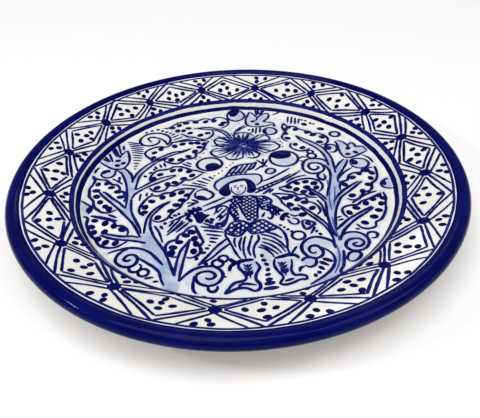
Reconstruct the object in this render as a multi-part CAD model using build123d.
"""A wheel-thrown, glazed earthenware plate: one clay body and the coats fired onto it.

Frame: +Z is up, the origin is the centre of the ring that the plate stands on, and the drawing on
the face is upright for someone who stands at -Y and looks along +Y. Every solid is a full turn
about +Z of a half-section drawn in the XZ plane, where local x is the radius and local y the height.
"""

import os

from build123d import *

# --- Driving dimensions, in millimetres ---------------------------------------------------------
# Plan view, from the outer edge inwards
outer_diameter = 300.0  # over the rolled rim
rim_roll_radius = 4.4  # section radius of the rolled rim
band_width = 8.2  # from the outer edge to where the blue rim coat stops
flange_width = 31.3  # the sloping border, from the blue rim coat to the well's shoulder
wall_run = 3.7  # how far the well's wall leans in, from shoulder to floor
foot_setback = 20.0  # from the bottom of the well's wall in to the foot ring's outer face
foot_width = 7.0  # thickness of the foot ring

# Heights, from the table upwards
foot_height = 4.0  # the foot ring, and the depth of the recess inside it
floor_thickness = 5.8  # the well's floor
wall_drop = 5.75  # the well's wall
rim_rise = 12.7  # from the shoulder up to the top of the rolled rim
roll_stand = 0.6  # how far the roll stands up above the border's own line
flange_crown = 0.8  # how far the border bows up between the shoulder and the roll

# The underside
flange_thickness = 5.6  # the border's wall, measured upright
shoulder_thickness = 6.4  # the wall below the shoulder, measured upright
under_run = 8.5  # from the shoulder in to where the underside levels out

# Rounded corners
shoulder_round = 5.0
floor_round = 4.0
roll_blend = 3.0
under_shoulder_round = 20.0
under_floor_round = 10.0
foot_round = 2.0
foot_edge_round = 0.8

# Coats
glaze_thickness = 0.5
bare_clay_height = 1.6  # the foot ring is wiped clean of glaze up to this height
bare_rim_height = 1.0  # how far above the bottom of the roll the blue coat ends
paint_thickness = 0.15  # cobalt brushed on with the plate turning on a wheel

# Painted rings: each has a distance in from the edge that it lines up with, and a width
border_line_inset = 1.9  # from the blue rim coat
border_line_width = 0.8
outer_ring_overlap = 1.5  # how far the upper ring reaches out over the shoulder
outer_ring_width = 2.0
inner_ring_offset = 0.2  # from the bottom of the well's wall
inner_ring_width = 2.0

# --- Places worked out from those sizes ---------------------------------------------------------
outer_radius = outer_diameter / 2
roll_centre_radius = outer_radius - rim_roll_radius
band_radius = outer_radius - band_width
shoulder_radius = band_radius - flange_width
well_radius = shoulder_radius - wall_run
foot_outer_radius = well_radius - foot_setback
foot_inner_radius = foot_outer_radius - foot_width

floor_z = foot_height + floor_thickness
shoulder_z = floor_z + wall_drop
rim_z = shoulder_z + rim_rise
roll_z = rim_z - rim_roll_radius
flange_end_z = rim_z - roll_stand  # the border's line, carried on to over the roll's centre

past_axis = 20.0  # the section runs past the axis and below the table, and is trimmed to them
below_table = 5.0
reach = 2 * outer_radius  # longer than any section, for the trimming shapes


def region(r_low, r_high, z_low, z_high):
    """A rectangle in the half-section, from one radius and height to another."""
    width, height = r_high - r_low, z_high - z_low
    return Pos(r_low + width / 2, z_low + height / 2) * Rectangle(width, height)


def near(sketch, r, z):
    """The sketch's vertex that lies closest to a point of the half-section, as a list of one."""
    return sketch.vertices().sort_by_distance((r, z, 0))[:1]


def glazed_section():
    """The half-section of the whole plate, glaze included, past the axis and below the table."""
    crown_r = (shoulder_radius + roll_centre_radius) / 2
    crown_z = (shoulder_z + flange_end_z) / 2 + flange_crown
    under_roll_z = flange_end_z - flange_thickness
    under_shoulder_z = shoulder_z - shoulder_thickness
    level_radius = shoulder_radius - under_run

    shoulder = (shoulder_radius, shoulder_z)
    crown = (crown_r, crown_z)
    over_roll = (roll_centre_radius, flange_end_z)
    outline = [
        ThreePointArc(shoulder, crown, over_roll),
        *Polyline(
            over_roll,
            (roll_centre_radius, under_roll_z),
            (shoulder_radius, under_shoulder_z),
            (level_radius, foot_height),
            (foot_outer_radius, foot_height),
            (foot_outer_radius, -below_table),
            (foot_inner_radius, -below_table),
            (foot_inner_radius, foot_height),
            (-past_axis, foot_height),
            (-past_axis, floor_z),
            (well_radius, floor_z),
            shoulder,
        ).edges(),
    ]
    section = make_face(outline)
    section = fillet(near(section, well_radius, floor_z), floor_round)
    section = fillet(near(section, *shoulder), shoulder_round)
    section = fillet(near(section, shoulder_radius, under_shoulder_z), under_shoulder_round)
    section = fillet(near(section, level_radius, foot_height), under_floor_round)
    section = fillet(near(section, foot_outer_radius, foot_height), foot_round)
    section = fillet(near(section, foot_inner_radius, foot_height), foot_round)

    section += Pos(roll_centre_radius, roll_z) * Circle(rim_roll_radius)
    roll_edge = roll_centre_radius - rim_roll_radius
    section = fillet(near(section, roll_edge, rim_z), roll_blend)
    return fillet(near(section, roll_edge, roll_z - rim_roll_radius), roll_blend)


def turned(section):
    """The solid that a half-section makes when it is turned once about +Z."""
    return revolve(Plane.XZ * section, Axis.Z)


def clay_body(section):
    """The fired clay, which lies one glaze thickness inside the plate and stands on its bare foot."""
    clay = offset(section, -glaze_thickness)
    clay &= region(0, reach, 0, reach)
    foot_edges = [
        *near(clay, foot_outer_radius - glaze_thickness, 0),
        *near(clay, foot_inner_radius + glaze_thickness, 0),
    ]
    return fillet(foot_edges, foot_edge_round)


def coats(section):
    """The glaze in its four coats: rim, face, back and foot recess.

    The blue rim coat goes over the roll and stops on its outer side. The back's coat starts under
    the middle of the roll, so a narrow band of bare clay is left between the two.
    """
    skin = section - offset(section, -glaze_thickness)
    skin &= region(0, reach, bare_clay_height, reach)

    over_roll = region(band_radius, reach, roll_z, reach)
    roll_bottom = roll_z - rim_roll_radius
    outside_roll = region(roll_centre_radius, reach, roll_bottom + bare_rim_height, reach)
    rim = skin & (over_roll + outside_roll)

    inside_band = region(0, band_radius, 0, reach)
    under_roll = region(0, roll_centre_radius, 0, roll_z)
    rest = (skin & (inside_band + under_roll)).faces().sort_by(Axis.Y)
    face = rest[-1]
    recess, back = rest[:-1].sort_by(Axis.X)
    return {"rim_glaze": rim, "face_glaze": face, "back_glaze": back, "recess_glaze": recess}


def painted_ring(section, r_low, r_high):
    """A band of cobalt on the face, between two radii."""
    film = offset(section, paint_thickness) - section
    stripes = (film & region(r_low, r_high, 0, reach)).faces()
    return stripes.sort_by(Axis.Y)[-1]


def main():
    section = glazed_section()
    sections = {"clay_body": clay_body(section), **coats(section)}

    line_outer = band_radius - border_line_inset
    sections["border_line"] = painted_ring(section, line_outer - border_line_width, line_outer)
    upper_outer = shoulder_radius + outer_ring_overlap
    sections["well_ring_outer"] = painted_ring(section, upper_outer - outer_ring_width, upper_outer)
    lower_inner = well_radius + inner_ring_offset
    sections["well_ring_inner"] = painted_ring(section, lower_inner, lower_inner + inner_ring_width)

    os.makedirs("parts", exist_ok=True)
    for node, half in sections.items():
        export_step(turned(half), f"parts/{node}.step")

    whole = turned(sections["clay_body"]).bounding_box().max.Z + glaze_thickness
    print(f"height {whole:.2f} mm, foot ring {2 * foot_outer_radius:.1f} mm across")


main()
